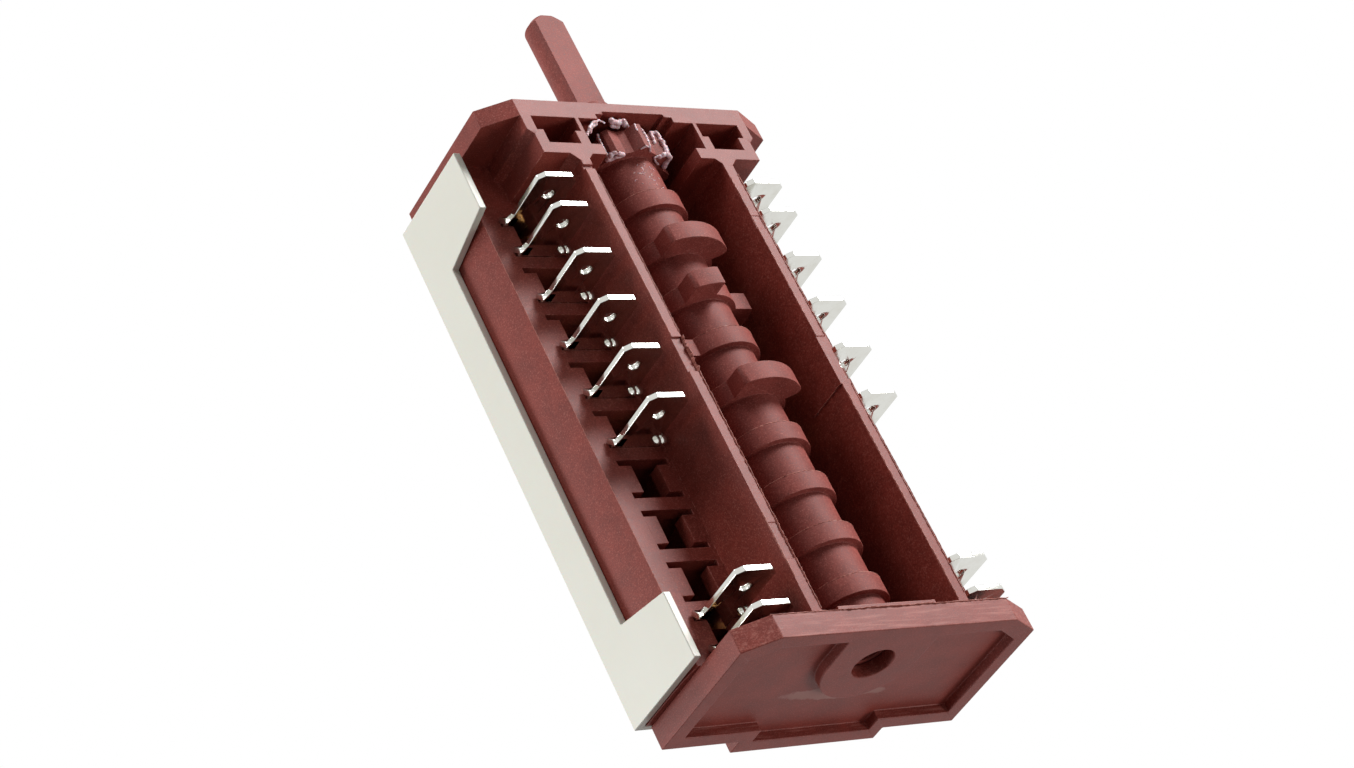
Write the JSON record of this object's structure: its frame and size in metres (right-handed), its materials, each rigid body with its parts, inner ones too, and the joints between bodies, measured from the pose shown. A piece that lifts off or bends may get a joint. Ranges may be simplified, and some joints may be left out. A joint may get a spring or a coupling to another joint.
{
  "type": "oven selector switch",
  "caption": "Rotary oven selector switch: moulded trough with a cam drum and detent, two rows of flat blade terminals, contact blades and a pale base cover.",
  "frame": {"origin": "centre of the two fixing holes on the front face of the flange, on the shaft axis", "axes": "+Y from the flange to the rear plate along the cam axis, +Z the open side with the drum, +X the side with the cover skirt"},
  "size_m": [0.0512, 0.1118, 0.0264],
  "materials": {
    "thermoset": "moulded, fine grain, satin",
    "drum_thermoset": "moulded, fine grain, greased at the star wheel",
    "pale_plastic": "moulded, smooth",
    "nickel_plate": "bright nickel plate",
    "spring_steel": "rolled strip",
    "spring_bronze": "rolled strip",
    "silver_contact": "coined rivet heads"
  },
  "bodies": {
    "body": {"housing": "thermoset", "end_plate": "thermoset", "base_cover": "pale_plastic", "detent_spring": "spring_steel", "left_common_terminal": "nickel_plate", "left_feed_terminal": "nickel_plate", "left_terminal_1": "nickel_plate", "left_terminal_2": "nickel_plate", "left_terminal_3": "nickel_plate", "left_terminal_4": "nickel_plate", "left_terminal_5": "nickel_plate", "left_terminal_9": "nickel_plate", "left_blade_1": "spring_bronze", "left_blade_2": "spring_bronze", "left_blade_3": "spring_bronze", "left_blade_4": "spring_bronze", "left_blade_5": "spring_bronze", "left_blade_9": "spring_bronze", "left_moving_contacts": "silver_contact", "left_fixed_contacts": "silver_contact", "right_common_terminal": "nickel_plate", "right_feed_terminal": "nickel_plate", "right_terminal_1": "nickel_plate", "right_terminal_2": "nickel_plate", "right_terminal_3": "nickel_plate", "right_terminal_4": "nickel_plate", "right_terminal_5": "nickel_plate", "right_terminal_9": "nickel_plate", "right_blade_1": "spring_bronze", "right_blade_2": "spring_bronze", "right_blade_3": "spring_bronze", "right_blade_4": "spring_bronze", "right_blade_5": "spring_bronze", "right_blade_9": "spring_bronze", "right_moving_contacts": "silver_contact", "right_fixed_contacts": "silver_contact"},
    "drum": {"camshaft": "drum_thermoset"}
  },
  "joints": [
    {"name": "selector_turn", "type": "hinge", "parent": "body", "child": "drum", "pos_m": [0, 0, 0], "axis": [0, -1, 0], "continuous": true, "deforming": ["left_blade_1", "left_blade_2", "left_blade_3", "left_blade_4", "left_blade_5", "left_blade_9", "right_blade_1", "right_blade_2", "right_blade_3", "right_blade_4", "right_blade_5", "right_blade_9", "detent_spring"]}
  ]
}
